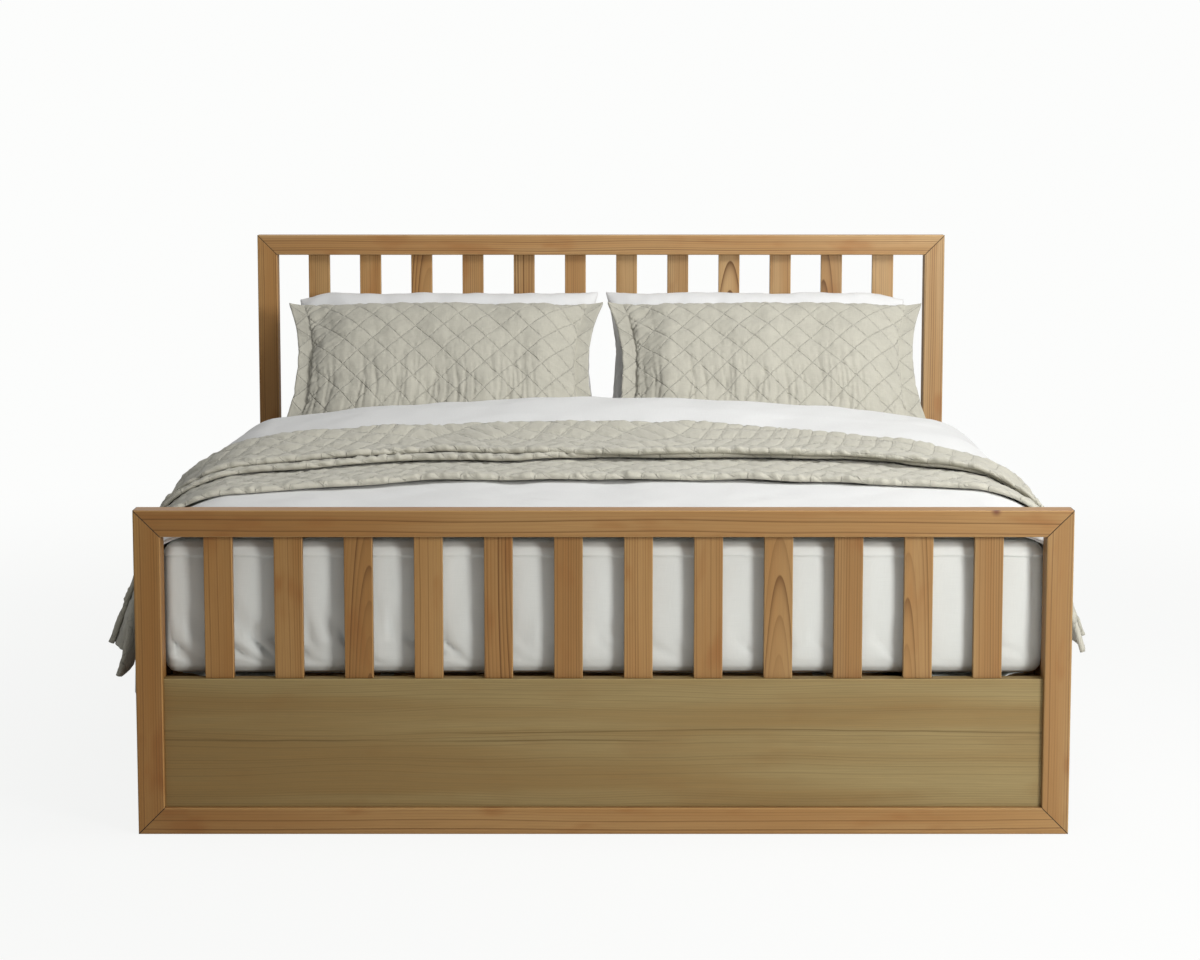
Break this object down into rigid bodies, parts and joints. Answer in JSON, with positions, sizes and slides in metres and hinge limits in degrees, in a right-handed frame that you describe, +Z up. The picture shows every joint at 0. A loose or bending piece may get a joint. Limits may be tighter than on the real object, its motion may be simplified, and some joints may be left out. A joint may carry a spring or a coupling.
{
  "type": "spindle bed",
  "caption": "King-size wooden spindle bed with mitred head and foot frames, slatted base, mattress, coverlet, folded quilted throw, pillows and quilted shams.",
  "frame": {"origin": "on the floor, under the middle of the whole bed", "axes": "+Z up; -Y towards the foot, so that the footboard's front face looks along -Y; +X to the right as seen from the foot"},
  "size_m": [2.344, 2.139, 1.2],
  "materials": {
    "pine": "satin oiled, straight grain",
    "slat_wood": "planed, unfinished",
    "beech": "planed, unfinished",
    "zinc_steel": "zinc plated",
    "webbing": "woven tape",
    "foot_plastic": "matte",
    "white_sheet": "fine cotton, stretched",
    "white_cotton": "fine cotton, soft",
    "quilted_linen": "diamond quilted, washed"
  },
  "bodies": {
    "frame": {"footboard_post_left": "pine", "footboard_post_right": "pine", "footboard_top_rail": "pine", "footboard_bottom_rail": "pine", "footboard_panel": "pine", "footboard_spindle_01": "pine", "footboard_spindle_02": "pine", "footboard_spindle_03": "pine", "footboard_spindle_04": "pine", "footboard_spindle_05": "pine", "footboard_spindle_06": "pine", "footboard_spindle_07": "pine", "footboard_spindle_08": "pine", "footboard_spindle_09": "pine", "footboard_spindle_10": "pine", "footboard_spindle_11": "pine", "footboard_spindle_12": "pine", "headboard_post_left": "pine", "headboard_post_right": "pine", "headboard_top_rail": "pine", "headboard_bottom_rail": "pine", "headboard_panel": "pine", "headboard_spindle_01": "pine", "headboard_spindle_02": "pine", "headboard_spindle_03": "pine", "headboard_spindle_04": "pine", "headboard_spindle_05": "pine", "headboard_spindle_06": "pine", "headboard_spindle_07": "pine", "headboard_spindle_08": "pine", "headboard_spindle_09": "pine", "headboard_spindle_10": "pine", "headboard_spindle_11": "pine", "headboard_spindle_12": "pine", "footboard_mitre_tongues": "beech", "headboard_mitre_tongues": "beech", "side_rail_left": "pine", "side_rail_right": "pine", "ledger_left": "slat_wood", "ledger_right": "slat_wood", "rail_hook_plates": "zinc_steel", "post_slot_plates": "zinc_steel", "fitting_screws": "zinc_steel", "base_screws": "zinc_steel", "bed_slats": "slat_wood", "slat_tapes": "webbing", "beam_hangers": "zinc_steel", "centre_beam": "slat_wood", "centre_leg_front": "slat_wood", "centre_leg_rear": "slat_wood", "leg_inserts": "zinc_steel"},
    "front_levelling_foot": {"levelling_foot_front": "foot_plastic"},
    "rear_levelling_foot": {"levelling_foot_rear": "foot_plastic"},
    "mattress": {"mattress": "white_sheet", "coverlet": "white_cotton"},
    "throw": {"throw": "quilted_linen"},
    "left_pillow": {"pillow_left": "white_cotton"},
    "right_pillow": {"pillow_right": "white_cotton"},
    "left_sham": {"sham_left": "quilted_linen"},
    "right_sham": {"sham_right": "quilted_linen"}
  },
  "joints": [
    {"name": "mattress_lift", "type": "slide", "parent": "frame", "child": "mattress", "axis": [0, 0, 1], "range_m": [0, 0.42]},
    {"name": "throw_lift", "type": "slide", "parent": "mattress", "child": "throw", "axis": [0, 0, 1], "range_m": [0, 0.3]},
    {"name": "left_pillow_lift", "type": "slide", "parent": "mattress", "child": "left_pillow", "axis": [0, 0, 1], "range_m": [0, 0.3]},
    {"name": "right_pillow_lift", "type": "slide", "parent": "mattress", "child": "right_pillow", "axis": [0, 0, 1], "range_m": [0, 0.3]},
    {"name": "left_sham_lift", "type": "slide", "parent": "left_pillow", "child": "left_sham", "axis": [0, -0.6, 0.8], "range_m": [0, 0.3]},
    {"name": "right_sham_lift", "type": "slide", "parent": "right_pillow", "child": "right_sham", "axis": [0, -0.6, 0.8], "range_m": [0, 0.3]},
    {"name": "front_foot_screw", "type": "slide", "parent": "frame", "child": "front_levelling_foot", "axis": [0, 0, 1], "range_m": [0, 0.012]},
    {"name": "rear_foot_screw", "type": "slide", "parent": "frame", "child": "rear_levelling_foot", "axis": [0, 0, 1], "range_m": [0, 0.012]}
  ]
}
